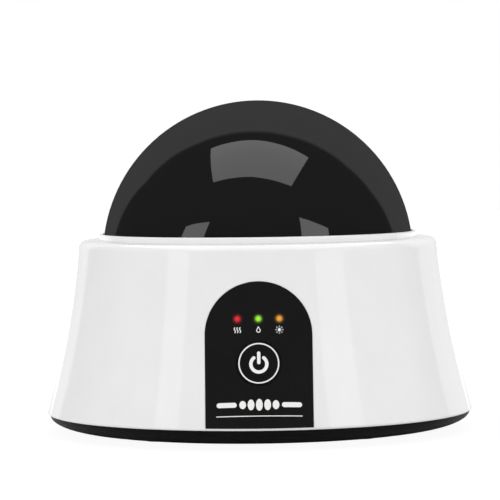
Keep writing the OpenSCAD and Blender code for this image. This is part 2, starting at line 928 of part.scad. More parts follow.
module base_plate() {
  color([0.1, 0.1, 0.1]) difference() {
    union() {
      rotate_extrude($fn = round_fn) base_section();
      difference() {
        floor_ribs();
        vent_slots();
      }
      for (turn = screw_angles) rotate([0, 0, turn])
        post(boss_circle_r, 0, floor_z + 0.2, boss_z, boss_r + 1);
      for (p = leg_spots) post(p[0], p[1], floor_z - join, leg_z, leg_r);
      for (p = power_spots) post(p[0], p[1], floor_z - join, power_z, 3.2);
      stop_posts();
    }
    vent_slots();
    for (turn = screw_angles) rotate([0, 0, turn]) {
      post(boss_circle_r, 0, -join, boss_z - boss_web, head_r + 0.8);
      post(boss_circle_r, 0, -join, boss_z + join, clearance_r);
      post(foot_circle_r, 0, -join, foot_h + foot_seat, foot_r + 0.15);
    }
    for (p = leg_spots) {
      post(p[0], p[1], -join, leg_z - leg_web, head_r + 0.8);
      post(p[0], p[1], -join, leg_z + join, clearance_r);
    }
    for (p = power_spots) post(p[0], p[1], foot_h + 1.5, power_z + join, pilot_r);
  }
}

module rubber_feet() {
  edge = 0.8;
  color([0.13, 0.13, 0.13]) for (turn = screw_angles) rotate([0, 0, turn])
    translate([foot_circle_r, 0, 0]) {
      cylinder(r1 = foot_r - edge, r2 = foot_r, h = edge);
      translate([0, 0, edge]) cylinder(r = foot_r, h = foot_h + foot_seat - seat - edge);
    }
}

module base_screws() {
  color("silver") for (turn = screw_angles) rotate([0, 0, turn])
    translate([boss_circle_r, 0, boss_z - boss_web]) screw(base_screw_len);
}

// ---------- steam chamber ----------

// Section of the bowl: a spherical wall over a flat floor, with the insert's ledge
module bowl_section() {
  difference() {
    intersection() {
      translate([0, pivot_z]) circle(r = bowl_r, $fn = 2 * round_fn);
      translate([0, bowl_z]) square([far, rim_z - bowl_z]);
    }
    intersection() {
      translate([0, pivot_z]) circle(r = bowl_inner_r, $fn = 2 * round_fn);
      translate([0, bowl_floor_z]) square([far, far]);
    }
    square([heater_hole_r, far]);
  }
  intersection() {
    translate([0, pivot_z]) circle(r = bowl_r - bowl_wall / 2, $fn = 2 * round_fn);
    translate([insert_r + insert_gap - ledge_w, ledge_z - 2]) square([far, 2]);
  }
}

// Flange that carries the seal and is screwed under the deck
module bowl_flange() {
  rotate([0, 0, -90 - flange_half_angle]) rotate_extrude(angle = 2 * flange_half_angle, $fn = round_fn)
    translate([bowl_r - bowl_wall / 2, flange_z]) square([flange_r - bowl_r + bowl_wall / 2, flange_t]);
}

module inner_bowl() {
  color([0.9, 0.9, 0.9]) difference() {
    union() {
      rotate_extrude($fn = round_fn) bowl_section();
      bowl_flange();
      for (p = leg_spots) post(p[0], p[1], leg_z, bowl_z + join, bowl_boss_r);
      for (x = [-clamp_screw_x, clamp_screw_x]) post(x, 0, clamp_z + clamp_t, bowl_z + join, clamp_boss_r);
    }
    for (turn = [-1:1]) rotate([0, 0, -90 + turn * flange_screw_step])
      post(flange_hole_r, 0, flange_z - join, seal_z + join, clearance_r);
    for (p = leg_spots) post(p[0], p[1], leg_z - join, leg_z + 14, pilot_r);
    for (x = [-clamp_screw_x, clamp_screw_x])
      post(x, 0, clamp_z, bowl_floor_z - 0.8, pilot_r);
  }
}

module bowl_screws() {
  color("silver") for (p = leg_spots)
    translate([p[0], p[1], leg_z - leg_web]) screw(leg_web + leg_bite);
}

module flange_screws() {
  color("silver") for (turn = [-1:1]) rotate([0, 0, -90 + turn * flange_screw_step])
    translate([flange_hole_r, 0, flange_z]) screw(flange_t + 6);
}

// Outline of one finger well, grown by grow
module well_outline(grow) {
  r = well_w / 2;
  reach = well_len / 2 - r;
  for (x = [-reach, reach]) translate([x, 0]) circle(r = r + grow);
  translate([-reach, -r - grow]) square([2 * reach, 2 * (r + grow)]);
}

// Puts its children at each of the five finger wells, X pointing outward
module at_wells() {
  for (i = [-2:2]) rotate([0, 0, 90 + i * well_step]) translate([well_circle_r, 0, 0]) children();
}

// Lift-out tray with a rim, a hollow rise for the palm and openings for the cups
module finger_insert() {
  palm_wall = 2.2;
  notch_r = 9;
  color([0.93, 0.93, 0.92]) difference() {
    union() {
      translate([0, 0, ledge_z]) cylinder(r = insert_r, h = insert_t, $fn = round_fn);
      rotate_extrude($fn = round_fn)
        translate([insert_r - rim_w, ledge_z + join]) square([rim_w, insert_t + insert_rim - join]);
      intersection() {
        translate([0, palm_y, insert_top_z - palm_sink]) sphere(r = palm_r, $fn = round_fn);
        block([-far, -far, ledge_z + join], [far, far, far]);
      }
    }
    intersection() {
      translate([0, palm_y, insert_top_z - palm_sink]) sphere(r = palm_r - palm_wall, $fn = round_fn);
      block([-far, -far, ledge_z - join], [far, far, far]);
    }
    at_wells() translate([0, 0, ledge_z - join])
      linear_extrude(insert_t + 2 * join) well_outline(well_wall + cup_fit);
    for (x = [-1, 1]) post(x * (insert_r + rim_w), 0, ledge_z - join, ledge_z + far, notch_r);
  }
}

// Five cups for the fingertips, let into the tray by their lips, with slots for the vapour
module finger_cups() {
  well_z = insert_top_z - well_depth;
  slot_half_w = 1.2;
  slot_half_len = 5;
  color([0.93, 0.93, 0.92]) difference() {
    union() {
      at_wells() translate([0, 0, well_z]) linear_extrude(well_depth + join) well_outline(well_wall);
      at_wells() translate([0, 0, insert_top_z]) linear_extrude(cup_lip_t) well_outline(well_wall + cup_lip);
    }
    at_wells() translate([0, 0, well_z + well_wall]) linear_extrude(well_depth + join) well_outline(0);
    at_wells() for (x = [-slot_pitch, 0, slot_pitch])
      block([x - slot_half_w, -slot_half_len, well_z - join], [x + slot_half_w, slot_half_len, insert_top_z]);
  }
}

module solvent_dish() {
  lip_w = 2;
  top_z = dish_z + dish_h;
  color([0.75, 0.75, 0.77]) rotate_extrude($fn = round_fn) polygon([
    [0, dish_z], [dish_flat_r, dish_z], [dish_r - lip_w, top_z - dish_t], [dish_r, top_z - dish_t],
    [dish_r, top_z], [dish_r - lip_w - dish_t, top_z],
    [dish_flat_r - dish_t / 2, dish_z + dish_t], [0, dish_z + dish_t]
  ]);
}

module dish_gasket() {
  color([0.7, 0.25, 0.2]) translate([0, 0, bowl_floor_z]) difference() {
    cylinder(r = dish_flat_r - 1, h = gasket_t, $fn = round_fn);
    translate([0, 0, -join]) cylinder(r = heater_hole_r + 1.2, h = gasket_t + 2 * join, $fn = round_fn);
  }
}

module heater_plate() {
  color([0.7, 0.7, 0.72]) translate([0, 0, bowl_z]) cylinder(r = heater_r, h = heater_t, $fn = round_fn);
}

module ptc_heater() {
  tab_w = 3;
  color([0.55, 0.45, 0.35]) {
    translate([ptc_x, 0, bowl_z - ptc_t]) cylinder(r = ptc_r, h = ptc_t);
    for (x = heater_lead_x)
      block([x - tab_w / 2, -heater_tab_y, bowl_z - 2], [x + tab_w / 2, 0, bowl_z - 1.2]);
  }
}

module heater_clamp() {
  color("silver") difference() {
    union() {
      translate([0, 0, clamp_z]) linear_extrude(clamp_t) {
        square([clamp_plate_len, clamp_w], center = true);
        square([clamp_len, clamp_ear_w], center = true);
      }
    }
    post(thermostat_x, 0, clamp_z - join, clamp_z + clamp_t + join, thermostat_r + 0.4);
    for (x = [-clamp_screw_x, clamp_screw_x])
      post(x, 0, clamp_z - join, clamp_z + clamp_t + join, clearance_r);
  }
}

module clamp_screws() {
  color("silver") for (x = [-clamp_screw_x, clamp_screw_x])
    translate([x, 0, clamp_z]) screw(clamp_t + ptc_t + 1);
}

module thermostat() {
  body_z = bowl_z - thermostat_h;
  color([0.2, 0.2, 0.2]) {
    translate([thermostat_x, 0, bowl_z - 3.2]) cylinder(r = thermostat_r, h = 3.2);
    translate([thermostat_x, 0, body_z]) cylinder(r = thermostat_r - 1, h = thermostat_h - 3);
    for (x = sensor_lead_x) block([x - 0.4, -2.4, body_z - sensor_tab], [x + 0.4, 2.4, body_z + join]);
  }
}

module thermal_fuse() {
  fuse_r = 2.2;
  fuse_y = 17.5;
  half_len = 6;
  color([0.8, 0.75, 0.6]) {
    translate([-half_len, fuse_y, bowl_z - fuse_r - 0.3]) rotate([0, 90, 0])
      cylinder(r = fuse_r, h = 2 * half_len);
    block([-2, fuse_y - fuse_r - 0.8, bowl_z - fuse_r], [2, fuse_y + fuse_r + 0.8, bowl_z]);
  }
}

module insulation_pad() {
  color([0.85, 0.8, 0.65]) difference() {
    translate([0, 0, bowl_z - pad_t]) cylinder(r = pad_r, h = pad_t, $fn = round_fn);
    translate([0, 0, bowl_z - pad_t - join])
      cylinder(r = clamp_len / 2 + 3, h = pad_t + 2 * join, $fn = round_fn);
    for (p = leg_spots) post(p[0], p[1], leg_z, bowl_z + join, bowl_boss_r + 0.3);
  }
}

// ---------- mains ----------

// Outline of the figure-of-eight socket
module socket_outline() {
  reach = contact_pitch / 2 - 0.2;
  for (x = [-reach, reach]) translate([x, 0]) circle(r = socket_lobe_r);
  translate([-reach, -socket_waist / 2]) square([2 * reach, socket_waist]);
}

module power_inlet() {
  front_y = inlet_y + inlet_flange_t;
  color([0.08, 0.08, 0.08]) difference() {
    union() {
      block(
        [-inlet_w / 2, inlet_y, inlet_z - inlet_h / 2],
        [inlet_w / 2, front_y, inlet_z + inlet_h / 2]
      );
      block(
        [-inlet_body_w / 2, inlet_y - inlet_len, inlet_z - inlet_body_h / 2],
        [inlet_body_w / 2, inlet_y + join, inlet_z + inlet_body_h / 2]
      );
    }
    translate([0, front_y + join, inlet_z]) rotate([90, 0, 0])
      linear_extrude(socket_depth + join) socket_outline();
    for (x = [-contact_pitch / 2, contact_pitch / 2]) translate([x, front_y, inlet_z])
      rotate([90, 0, 0]) cylinder(r = contact_r + seat, h = far, $fn = 32);
  }
}

module contact_pins() {
  tip_y = inlet_y + inlet_flange_t - socket_depth + contact_len;
  tail_y = inlet_y - inlet_len - contact_tail;
  color("silver") for (x = [-contact_pitch / 2, contact_pitch / 2])
    translate([x, tip_y, inlet_z]) rotate([90, 0, 0]) cylinder(r = contact_r, h = tip_y - tail_y, $fn = 32);
}

module power_board() {
  color([0.1, 0.35, 0.18]) difference() {
    block([-power_w / 2, power_y0, power_z], [power_w / 2, power_y1, power_top_z]);
    for (p = power_spots) post(p[0], p[1], power_z - join, power_top_z + join, clearance_r);
  }
}

module transformer() {
  low = [-transformer_reach, power_y0 + transformer_core, power_top_z];
  size = [transformer_w, transformer_w, transformer_h];
  core = transformer_core;
  color([0.3, 0.3, 0.3]) {
    block(low, low + [size[0], size[1], core]);
    block(low + [0, 0, size[2] - core], low + size);
    block(low + [core, 0, core], low + [size[0] - core, size[1], size[2] - core]);
  }
  color([0.85, 0.75, 0.3])
    block(low + [core / 2, core / 2, core], low + [size[0] - core / 2, size[1] - core / 2, size[2] - core]);
}

module relay() {
  color([0.15, 0.3, 0.6]) translate([relay_low[0], relay_low[1], power_top_z]) cube(relay_size);
}

module capacitor() {
  color([0.1, 0.1, 0.25]) post(can_spot[0], can_spot[1], power_top_z, power_top_z + can_h, can_r);
}

module mains_fuse() {
  y = mains_fuse_y;
  r = 2.6;
  axis_z = power_top_z + r + 0.6;
  color([0.9, 0.9, 0.85]) translate([11.5, y, axis_z]) rotate([0, 90, 0]) cylinder(r = r - 0.3, h = 19);
  color("silver") for (x = [11, 26]) {
    translate([x, y, axis_z]) rotate([0, 90, 0]) cylinder(r = r, h = 5);
    block([x + 1.5, y - 1.5, power_top_z], [x + 3.5, y + 1.5, axis_z]);
  }
}

module terminal_block() {
  color([0.2, 0.45, 0.3]) difference() {
    block([-block_half_w, block_front_y, power_top_z], [block_half_w, block_rear_y, power_top_z + block_h]);
    for (x = mains_lead_x) translate([x, block_rear_y + join, mains_end_z]) rotate([90, 0, 0])
      cylinder(r = lead_hole_r, h = 3 + join, $fn = 32);
    for (x = heater_lead_x)
      post(x, heater_end_y, power_top_z + block_h - 3, power_top_z + block_h + join, lead_hole_r);
  }
}

module power_board_screws() {
  color("silver") for (p = power_spots)
    translate([p[0], p[1], power_top_z]) rotate([180, 0, 0]) screw(board_t + board_bite);
}

// ---------- leads ----------

// From the inlet's tails, along the floor, to the terminal block
module mains_leads() {
  start_y = inlet_y - inlet_len - contact_tail - lead_gap;
  drop_y = start_y - 2.75 * lead_bend;
  rise_y = block_rear_y + 2.25 * lead_bend;
  drop = bend(
    [0, start_y, inlet_z], [0, start_y - 1.5 * lead_bend, inlet_z],
    [0, start_y - lead_bend, mains_low_z], [0, drop_y, mains_low_z]
  );
  rise = bend(
    [0, rise_y, mains_low_z], [0, rise_y - 1.125 * lead_bend, mains_low_z],
    [0, block_rear_y + 0.875 * lead_bend, mains_end_z], [0, block_rear_y - lead_reach, mains_end_z]
  );
  color([0.45, 0.3, 0.2]) for (x = mains_lead_x)
    translate([x, 0, 0]) swept(concat(drop, rise), lead_profile);
}

// From the ceramic heater's tabs down to the terminal block
module heater_leads() {
  start = [0, -heater_tab_y - lead_gap, bowl_z - 1.6];
  finish = [0, heater_end_y, power_top_z + block_h - 2.5];
  color([0.8, 0.2, 0.15]) for (x = heater_lead_x) translate([x, 0, 0])
    swept(bend(start, start + [0, -9, 0], finish + [0, 0, 26], finish, 12), lead_profile);
}

// From the thermostat's tabs to the power board
module sensor_leads() {
  start = [0, 0, bowl_z - thermostat_h - sensor_tab - lead_gap];
  finish = [0, sensor_end_y, power_top_z + lead_gap];
  color([0.85, 0.85, 0.3]) for (x = sensor_lead_x) translate([x, 0, 0])
    swept(bend(start, start + [0, 0, -14], finish + [0, 0, 20], finish, 12), lead_profile);
}

// Flat cable between the two boards
module ribbon_cable() {
  half_w = 7;
  half_t = 0.5;
  start = control_point([0, board_y0 + 4, board_top - board_t - lead_gap]);
  inward = control_point([0, board_y0 + 4, board_top - board_t - 6]);
  finish = [0, power_y0 + 1.5, power_top_z + lead_gap];
  ribbon = [[half_w, half_t], [half_w, -half_t], [-half_w, -half_t], [-half_w, half_t]];
  color([0.6, 0.6, 0.62]) swept(bend(start, inward, finish + [0, 0, 9], finish, 10), ribbon);
}

outer_housing();
collar_ring();
visor_dome();
dome_seal();
dome_stops();
pivot_bracket_left();
pivot_bracket_right();
pivot_bush_left();
pivot_bush_right();
friction_washer_left();
friction_washer_right();
bracket_screws();
control_panel();
power_button();
switch_plunger();
tact_switch();
indicator_lens_red();
indicator_lens_green();
indicator_lens_amber();
indicator_leds();
control_board();
buzzer();
control_board_screws();
base_plate();
rubber_feet();
base_screws();
inner_bowl();
bowl_screws();
flange_screws();
finger_insert();
finger_cups();
solvent_dish();
dish_gasket();
heater_plate();
ptc_heater();
heater_clamp();
clamp_screws();
thermostat();
thermal_fuse();
insulation_pad();
power_inlet();
contact_pins();
power_board();
transformer();
relay();
capacitor();
mains_fuse();
terminal_block();
power_board_screws();
mains_leads();
heater_leads();
sensor_leads();
ribbon_cable();
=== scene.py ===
"""Looks for the gel polish remover: finishes, printed marks, studio and camera, all in metres."""

import json
from math import asin, cos, hypot, pi, radians, sin, sqrt

import bmesh
import bpy
from mathutils import Matrix, Vector


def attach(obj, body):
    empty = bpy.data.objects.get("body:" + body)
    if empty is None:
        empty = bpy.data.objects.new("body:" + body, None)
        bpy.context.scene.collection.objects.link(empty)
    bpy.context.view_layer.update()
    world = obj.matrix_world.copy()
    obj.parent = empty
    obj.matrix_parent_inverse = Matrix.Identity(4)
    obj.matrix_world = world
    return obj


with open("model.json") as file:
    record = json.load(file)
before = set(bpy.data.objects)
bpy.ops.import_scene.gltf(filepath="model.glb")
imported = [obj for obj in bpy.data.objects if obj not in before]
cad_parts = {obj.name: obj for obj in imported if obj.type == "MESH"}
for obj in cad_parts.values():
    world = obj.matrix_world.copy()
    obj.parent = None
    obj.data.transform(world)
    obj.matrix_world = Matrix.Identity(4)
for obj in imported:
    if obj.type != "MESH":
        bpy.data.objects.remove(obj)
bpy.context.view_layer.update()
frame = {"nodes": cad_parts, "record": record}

MM = 0.001

# ---------- sizes that follow the solids, in metres ----------

# the bell's flank is an arc whose centre lies outside it
FLARE_X = 576.317 * MM
FLARE_Z = 148.312 * MM
FLARE_R = 488.467 * MM
PANEL_PROUD = 0.25 * MM
BUTTON_Z = 41.3 * MM
BUTTON_PROUD = 0.3 * MM
LED_RISE = 21.5 * MM
LED_PITCH = 10.0 * MM
LENS_R = 1.55 * MM
DOME_CENTRE = Vector((0, 0, 88.6 * MM))


def flank_r(z, proud=0.0):
    """Radius of the bell's flank at a height, or of a surface that stands proud of it."""
    return FLARE_X - sqrt((FLARE_R - proud) ** 2 - (z - FLARE_Z) ** 2)


# ---------- colours and nodes ----------

# where along the slow noise the two colours lie, and the range that the fine noise really spans
DRIFT_PLACES = (0.35, 0.7)
NOISE_LOW, NOISE_HIGH = 0.3, 0.7
LEAST_ROUGH = 0.02

# how far from a light's middle its colours are set, as shares of the lens and of the painted glow round it
# on the panel
GLOW_PLACES = (0.0, 0.3, 0.6, 0.95)
PAINTED_GLOW_R = 3.4 * MM
PAINTED_GLOW_PLACES = (0.456, 0.57, 0.71, 0.855, 1.0)


def linear(code, alpha=1.0):
    """An sRGB hex value as linear RGBA."""
    out = []
    for i in (0, 2, 4):
        c = int(code[i : i + 2], 16) / 255
        out.append(c / 12.92 if c <= 0.04045 else ((c + 0.055) / 1.055) ** 2.4)
    return (*out, alpha)


def add(tree, kind, settings=None, links=None, stops=()):
    """Adds a node, sets its properties and sockets, links its inputs and lays out its colour stops."""
    node = tree.nodes.new(kind)
    for key, value in (settings or {}).items():
        if isinstance(key, int) or key in node.inputs:
            node.inputs[key].default_value = value
        else:
            setattr(node, key, value)
    for key, source in (links or {}).items():
        tree.links.new(source, node.inputs[key])
    for i, (place, code) in enumerate(stops):
        if i >= len(node.color_ramp.elements):
            node.color_ramp.elements.new(place)
        node.color_ramp.elements[i].position = place
        node.color_ramp.elements[i].color = linear(code)
    return node


def blank(name):
    """A material with an empty node tree, and its output node."""
    mat = bpy.data.materials.new(name)
    mat.use_nodes = True
    mat.node_tree.nodes.clear()
    return mat, mat.node_tree, mat.node_tree.nodes.new("ShaderNodeOutputMaterial")


def place_of(tree, scale=(1, 1, 1), centre=(0, 0, 0)):
    """Object coordinates, centred on a point or stretched."""
    where = add(tree, "ShaderNodeTexCoord")
    settings = {"Location": [-c for c in centre], "Scale": scale}
    return add(tree, "ShaderNodeMapping", settings, {"Vector": where.outputs["Object"]}).outputs["Vector"]


def finish(
    name,
    colour,
    rough,
    other=None,
    spread=0.03,
    grain=0.6 * MM,
    height=0.001 * MM,
    blotch=18 * MM,
    stretch=(1, 1, 1),
    **sockets,
):
    """A moulded, cast, drawn or brushed surface: slow colour drift, uneven gloss and a fine relief.

    grain and blotch are the sizes of the fine and the slow pattern, and height is the relief's depth.
    """
    mat, tree, out = blank(name)
    vector = place_of(tree, scale=stretch)
    fine = add(tree, "ShaderNodeTexNoise", {"Scale": 1 / grain, "Detail": 3.0}, {"Vector": vector})
    slow = add(tree, "ShaderNodeTexNoise", {"Scale": 1 / blotch, "Detail": 2.0}, {"Vector": vector})
    drift = list(zip(DRIFT_PLACES, (colour, other or colour)))
    tint = add(tree, "ShaderNodeValToRGB", links={"Fac": slow.outputs["Fac"]}, stops=drift)
    gloss = add(
        tree,
        "ShaderNodeMapRange",
        {
            "From Min": NOISE_LOW,
            "From Max": NOISE_HIGH,
            "To Min": max(rough - spread, LEAST_ROUGH),
            "To Max": rough + spread,
        },
        {"Value": fine.outputs["Fac"]},
    )
    relief = add(
        tree, "ShaderNodeBump", {"Strength": 1.0, "Distance": height}, {"Height": fine.outputs["Fac"]}
    )
    shader = add(
        tree,
        "ShaderNodeBsdfPrincipled",
        sockets,
        {
            "Base Color": tint.outputs["Color"],
            "Roughness": gloss.outputs["Result"],
            "Normal": relief.outputs["Normal"],
        },
    )
    tree.links.new(shader.outputs["BSDF"], out.inputs["Surface"])
    return mat


def lens(name, tint, glow, centre):
    """A lit light pipe in clear tinted plastic: hot in the middle, deeper in colour towards its rim."""
    mat, tree, out = blank(name)
    vector = place_of(tree, centre=centre)
    far = add(tree, "ShaderNodeVectorMath", {"operation": "LENGTH"}, {0: vector})
    share = add(tree, "ShaderNodeMath", {"operation": "DIVIDE", 1: LENS_R}, {0: far.outputs["Value"]})
    glow_stops = list(zip(GLOW_PLACES, glow))
    light = add(tree, "ShaderNodeValToRGB", links={"Fac": share.outputs["Value"]}, stops=glow_stops)
    shader = add(
        tree,
        "ShaderNodeBsdfPrincipled",
        {"Base Color": linear(tint), "Roughness": 0.12, "IOR": 1.49, "Emission Strength": 1.0},
        {"Emission Color": light.outputs["Color"]},
    )
    tree.links.new(shader.outputs["BSDF"], out.inputs["Surface"])
    return mat


def paint_led_glow(mat, spots):
    """A glow painted on the panel as emission round each light, a millimetre past its lens, standing in for
    light that clear acrylic over the print would carry.
    """
    tree = mat.node_tree
    where = add(tree, "ShaderNodeTexCoord")
    total = None
    for centre, glow in spots:
        far = add(
            tree, "ShaderNodeVectorMath", {"operation": "DISTANCE", 1: centre}, {0: where.outputs["Object"]}
        )
        share = add(tree, "ShaderNodeMath", {"operation": "DIVIDE", 1: PAINTED_GLOW_R}, {0: far.outputs["Value"]})
        stops = list(zip(PAINTED_GLOW_PLACES, glow))
        light = add(tree, "ShaderNodeValToRGB", links={"Fac": share.outputs["Value"]}, stops=stops)
        light = light.outputs["Color"]
        if total is not None:
            light = add(tree, "ShaderNodeVectorMath", {"operation": "ADD"}, {0: total, 1: light}).outputs[0]
        total = light
    shader = next(node for node in tree.nodes if node.type == "BSDF_PRINCIPLED")
    shader.inputs["Emission Strength"].default_value = 1.0
    tree.links.new(total, shader.inputs["Emission Color"])
    return mat


# ---------- finishes, one for each material slot of the record ----------

lean = asin((FLARE_Z - BUTTON_Z) / FLARE_R)
up_panel = Vector((0, sin(lean), cos(lean)))
out_panel = Vector((0, -cos(lean), sin(lean)))
button_at = Vector((0, -flank_r(BUTTON_Z), BUTTON_Z))
led_z = (button_at + up_panel * LED_RISE).z
led_at = [
    Vector((x, -sqrt(flank_r(led_z, PANEL_PROUD) ** 2 - x * x), led_z)) for x in (-LED_PITCH, 0.0, LED_PITCH)
]

FINISHES = {
    # high-gloss ABS, injection moulded in a polished tool: clean, hard reflections over white
    "shell_white": finish("white_abs_moulded", "EAEAEA", 0.07, "E8E8E8", 0.02, IOR=1.5),
    # the same ABS as a trim ring, satin from a spark-eroded tool
    "collar_white": finish("white_abs_satin", "EDEDED", 0.16, "EBEBEB", IOR=1.5),
    # tinted polycarbonate, opaque black, polished tool: mirror-like
    "dome_black": finish(
        "black_polycarbonate_polished", "191919", 0.03, "1A1A1B", 0.01, height=0.0002 * MM, IOR=1.5
    ),
    # PMMA panel, back-printed black under a polished face, with a glow painted round each light
    "panel_black": paint_led_glow(
        finish("black_acrylic_panel_painted_led_glow", "191919", 0.06, "1A1A1B", 0.02, IOR=1.49),
        [
            # painted glow colours round a red, a green and an amber light, from each lens's rim outward
            (led_at[0], ("6E181C", "521014", "2B0808", "080202", "000000")),
            (led_at[1], ("486618", "36500E", "122004", "040802", "000000")),
            (led_at[2], ("705010", "503808", "251904", "080501", "000000")),
        ],
    ),
    # the same PMMA as a cap
    "button_black": finish("black_acrylic_cap", "171718", 0.08, "18181A", 0.02, IOR=1.49),
    # black ABS from an etched tool: low sheen
    "base_black": finish(
        "black_abs_etched",
        "0B0B0C",
        0.45,
        "0D0D0E",
        0.06,
        grain=0.35 * MM,
        height=0.01 * MM,
        **{"Specular IOR Level": 0.08},
    ),
    # clear tinted PMMA light pipes, lit from behind
    "lens_red": lens("red_light_pipe", "5A0A0E", ("FF2E37", "E92C35", "C52A33", "85202A"), led_at[0]),
    "lens_green": lens("green_light_pipe", "1F4A0C", ("94F721", "9EF634", "96DD3A", "6A9737"), led_at[1]),
    "lens_amber": lens("amber_light_pipe", "5A3208", ("FFAA26", "F4A637", "CE9441", "8C6937"), led_at[2]),
    # moulded rubber feet: matt, dusty at the edges
    "rubber_black": finish("black_rubber_moulded", "1C1C1C", 0.7, "242424", 0.1, height=0.02 * MM),
    # the dome's carriage: silicone, turned acetal, punched nylon and moulded nylon
    "seal_grey": finish("grey_silicone_seal", "8E9094", 0.5, "989A9E", 0.08, height=0.01 * MM),
    "acetal_black": finish("black_acetal_turned", "1D1D1F", 0.3, "222224", 0.06),
    "washer_grey": finish("grey_nylon_washer", "A7A9AC", 0.42, "B2B4B6", 0.06),
    "bracket_white": finish("white_nylon_bracket", "DEDFDF", 0.38, "E5E5E4", 0.06),
    # steam chamber in white polypropylene: waxy, softer gloss than the housing
    "chamber_white": finish("white_polypropylene_bowl", "E4E5E5", 0.24, "E9E9E8", 0.05, IOR=1.49),
    "insert_white": finish("white_polypropylene_insert", "E8E9E9", 0.2, "ECECEB", 0.05, IOR=1.49),
    # spun dish and milled plate: bright aluminium, the plate with its tool marks along one way
    "dish_aluminium": finish(
        "aluminium_spun", "C9CBCD", 0.28, "D2D4D6", 0.07, grain=0.25 * MM, Metallic=1.0
    ),
    "heater_aluminium": finish(
        "aluminium_plate_milled", "B9BBBE", 0.36, "C6C8CA", 0.08, stretch=(1, 12, 1), Metallic=1.0
    ),
    # fired ceramic heater and its silicone gasket
    "heater_ceramic": finish("ceramic_heater_fired", "8D8378", 0.6, "A09687", 0.1, height=0.02 * MM),
    "gasket_red": finish("red_silicone_gasket", "A8322B", 0.5, "B23B31", 0.08),
    # plated screws and a rolled strip clamp
    "screw_steel": finish("steel_zinc_plated", "A9ABAE", 0.32, "B8BABC", 0.08, Metallic=1.0),
    "clamp_steel": finish(
        "steel_strip_rolled", "9EA1A5", 0.34, "AEB0B3", 0.08, stretch=(1, 14, 1), Metallic=1.0
    ),
    # heat guards: phenolic, glazed sleeve and felt
    "thermostat_black": finish("black_phenolic_moulded", "1A1918", 0.4, "232120", 0.08),
    "fuse_ceramic": finish("white_ceramic_sleeve", "DCD9D0", 0.35, "E4E1D8", 0.08),
    "pad_felt": finish(
        "grey_fibre_felt", "8B8A86", 0.95, "A4A29C", 0.04, grain=0.5 * MM, height=0.2 * MM, blotch=4 * MM
    ),
    # mains inlet and its plated pins
    "inlet_black": finish("black_nylon_inlet", "1B1B1C", 0.4, "202022", 0.06, height=0.008 * MM),
    "contact_plated": finish("brass_nickel_plated", "C2BFB6", 0.22, "CCC9C0", 0.06, Metallic=1.0),
    # boards and what they carry
    "board_green": finish(
        "green_solder_mask", "1F5B35", 0.3, "2A6E42", 0.08, grain=0.8 * MM, blotch=2.2 * MM
    ),
    "switch_black": finish("black_switch_moulded", "1B1B1B", 0.38, "222222", 0.06),
    "plunger_red": finish("red_acetal_plunger", "B4392B", 0.35, "BE4334", 0.06),
    "led_clear": finish("clear_epoxy_led", "D9DCDA", 0.12, "E0E3E1", 0.04, IOR=1.53),
    "transformer_core": finish(
        "steel_laminations", "55575B", 0.45, "6A6C70", 0.1, grain=0.35 * MM, stretch=(0.02, 1, 0.02),
        height=0.03 * MM, blotch=1 * MM, Metallic=0.8
    ),
    "relay_blue": finish("blue_relay_case", "2C5FA8", 0.3, "3468B2", 0.06),
    "capacitor_black": finish("black_capacitor_sleeve", "1B1C20", 0.28, "22232A", 0.06),
    "fuse_glass": finish("fuse_glass_tube", "CBD3D2", 0.08, "D5DCDA", 0.03, IOR=1.52),
    "block_green": finish("green_terminal_block", "2F8A4C", 0.36, "389657", 0.06),
    # leads: extruded PVC and silicone, a woven sleeve, and a ribbon ribbed by its conductors
    "lead_brown": finish("brown_pvc_lead", "6B4028", 0.42, "76492F", 0.06),
    "lead_red": finish("red_silicone_lead", "A62B25", 0.45, "B2352D", 0.06),
    "lead_yellow": finish("yellow_glass_sleeve", "C9A83A", 0.6, "D6B64A", 0.08),
    "ribbon_grey": finish(
        "grey_ribbon_cable", "8F9297", 0.4, "A6A9AD", 0.06, grain=0.6 * MM, stretch=(1, 0.02, 0.02),
        height=0.05 * MM, blotch=1.27 * MM
    ),
}

for part in frame["record"]["subparts"]:
    node = frame["nodes"][part["node"]]
    node.data.materials.clear()
    node.data.materials.append(FINISHES[part["material_slot"]])

# ---------- printed marks ----------

# white screen-printed ink on acrylic: satin, slightly uneven in gloss
INK = finish("white_screen_ink", "F4F4F2", 0.34, "EFEFEE", 0.06, grain=0.15 * MM, height=0.002 * MM)
INK_T = 0.06 * MM
INK_SUNK = 0.02 * MM
CAP_STEPS = 8
# points nearer than this share of a line's width are one point
MERGE_SHARE = 0.02
# rounds of moving a point along the panel's normal until it lies on the flank
FIT_ROUNDS = 6


def stroke(bm, path, width):
    """A flat round-ended line of ink along a path of (u, v) points."""
    places = [Vector((u, v, 0)) for u, v in path]
    sides = []
    for i in range(len(places)):
        run = (places[min(i + 1, len(places) - 1)] - places[max(i - 1, 0)]).normalized()
        sides.append(Vector((-run.y, run.x, 0)) * width / 2)
    row = [bm.verts.new(places[0] + sides[0] * k) for k in (1, 0, -1)]
    edges = [bm.edges.new(row[:2]), bm.edges.new(row[1:])]
    ends = [(edges[0], places[0], pi)]
    for i in range(1, len(places)):
        made = bmesh.ops.extrude_edge_only(bm, edges=edges)["geom"]
        edges = [g for g in made if isinstance(g, bmesh.types.BMEdge)]
        row = [g for g in made if isinstance(g, bmesh.types.BMVert)]
        row.sort(key=lambda vert: -(vert.co - places[i - 1]).dot(sides[i - 1]))
        for vert, k in zip(row, (1, 0, -1)):
            vert.co = places[i] + sides[i] * k
    ends.append((next(e for e in edges if row[0] in e.verts), places[-1], -pi))
    for edge, centre, turn in ends:
        bmesh.ops.spin(
            bm,
            geom=[edge, *edge.verts],
            cent=centre,
            axis=(0, 0, 1),
            angle=turn,
            steps=CAP_STEPS,
            use_duplicate=False,
        )
    bmesh.ops.remove_doubles(bm, verts=bm.verts, dist=width * MERGE_SHARE)


